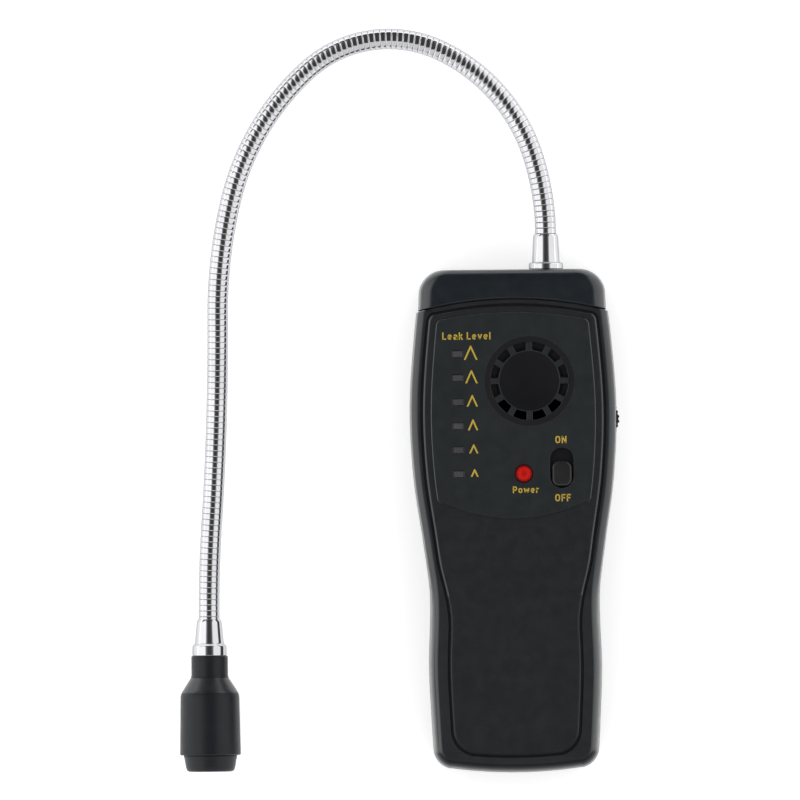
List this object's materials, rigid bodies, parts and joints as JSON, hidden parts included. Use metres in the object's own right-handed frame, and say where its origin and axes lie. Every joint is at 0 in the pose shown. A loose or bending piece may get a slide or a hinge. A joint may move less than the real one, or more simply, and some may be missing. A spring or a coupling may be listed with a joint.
{
  "type": "refrigerant leak detector",
  "caption": "Handheld gas leak detector lying on its back: black moulded housing with level lamps, sounder grille and switch, and a chrome gooseneck carrying a sensor probe.",
  "frame": {"origin": "middle of the flat back face of the housing, on which it lies", "axes": "+X across the housing to the right, +Y along it toward the gooseneck, +Z out of the front face"},
  "size_m": [0.155, 0.2609, 0.0424],
  "materials": {
    "housing_black": "satin moulded plastic",
    "housing_back": "satin moulded plastic",
    "cap_black": "satin moulded plastic",
    "door_black": "satin moulded plastic",
    "knob_black": "satin moulded plastic",
    "probe_black": "satin moulded plastic",
    "lamp_grey": "smoked lens",
    "lamp_red": "red tinted lens",
    "switch_grey": "moulded",
    "speaker_dark": "moulded",
    "pot_blue": "moulded",
    "board_green": "solder resist",
    "cell": "printed sleeve",
    "contact": "plated strip",
    "steel": "plain steel",
    "sensor_can": "drawn can",
    "chrome": "bright plating"
  },
  "bodies": {
    "housing": {"front_shell": "housing_black", "back_shell": "housing_back", "top_cap": "cap_black", "case_screws": "steel", "main_board": "board_green", "speaker": "speaker_dark", "sense_led_1": "lamp_grey", "sense_led_2": "lamp_grey", "sense_led_3": "lamp_grey", "sense_led_4": "lamp_grey", "sense_led_5": "lamp_grey", "sense_led_6": "lamp_grey", "power_led": "lamp_red", "switch_body": "switch_grey", "pot_base": "pot_blue", "battery_1": "cell", "battery_2": "cell", "battery_3": "cell", "spring_contacts": "contact", "plate_contacts": "contact", "base_ferrule": "chrome", "ferrule_nut": "contact", "gooseneck_root": "chrome"},
    "door": {"battery_door": "door_black"},
    "switch": {"switch_knob": "knob_black"},
    "wheel": {"thumbwheel": "knob_black"},
    "arm_1": {"gooseneck_1": "chrome"},
    "arm_2": {"gooseneck_2": "chrome"},
    "arm_3": {"gooseneck_3": "chrome"},
    "arm_4": {"gooseneck_4": "chrome", "probe_ferrule": "chrome", "probe_body": "probe_black", "probe_nose": "probe_black", "gas_sensor": "sensor_can", "sensor_mesh": "steel"}
  },
  "joints": [
    {"name": "power_switch", "type": "slide", "parent": "housing", "child": "switch", "axis": [0, 1, 0], "range_m": [0, 0.004]},
    {"name": "sensitivity_wheel", "type": "hinge", "parent": "housing", "child": "wheel", "pos_m": [0.03022, 0.0354, 0.0249], "axis": [0, 0, 1], "range_deg": [-135, 135]},
    {"name": "battery_door", "type": "slide", "parent": "housing", "child": "door", "axis": [0, -1, 0], "range_m": [0, 0.064]},
    {"name": "arm_swing", "type": "hinge", "parent": "housing", "child": "arm_1", "pos_m": [0.01156, 0.10939, 0.0205], "axis": [1, 0, 0], "range_deg": [-25, 25]},
    {"name": "arm_shoulder", "type": "hinge", "parent": "arm_1", "child": "arm_2", "pos_m": [-0.00979, 0.15531, 0.0205], "axis": [0, 0, 1], "range_deg": [-25, 5]},
    {"name": "arm_crown", "type": "hinge", "parent": "arm_2", "child": "arm_3", "pos_m": [-0.09229, 0.12959, 0.0205], "axis": [0, 0, 1], "range_deg": [-25, 6]},
    {"name": "arm_leg", "type": "hinge", "parent": "arm_3", "child": "arm_4", "pos_m": [-0.10354, 0.0455, 0.0205], "axis": [0, 0, 1], "range_deg": [-25, 10]}
  ]
}
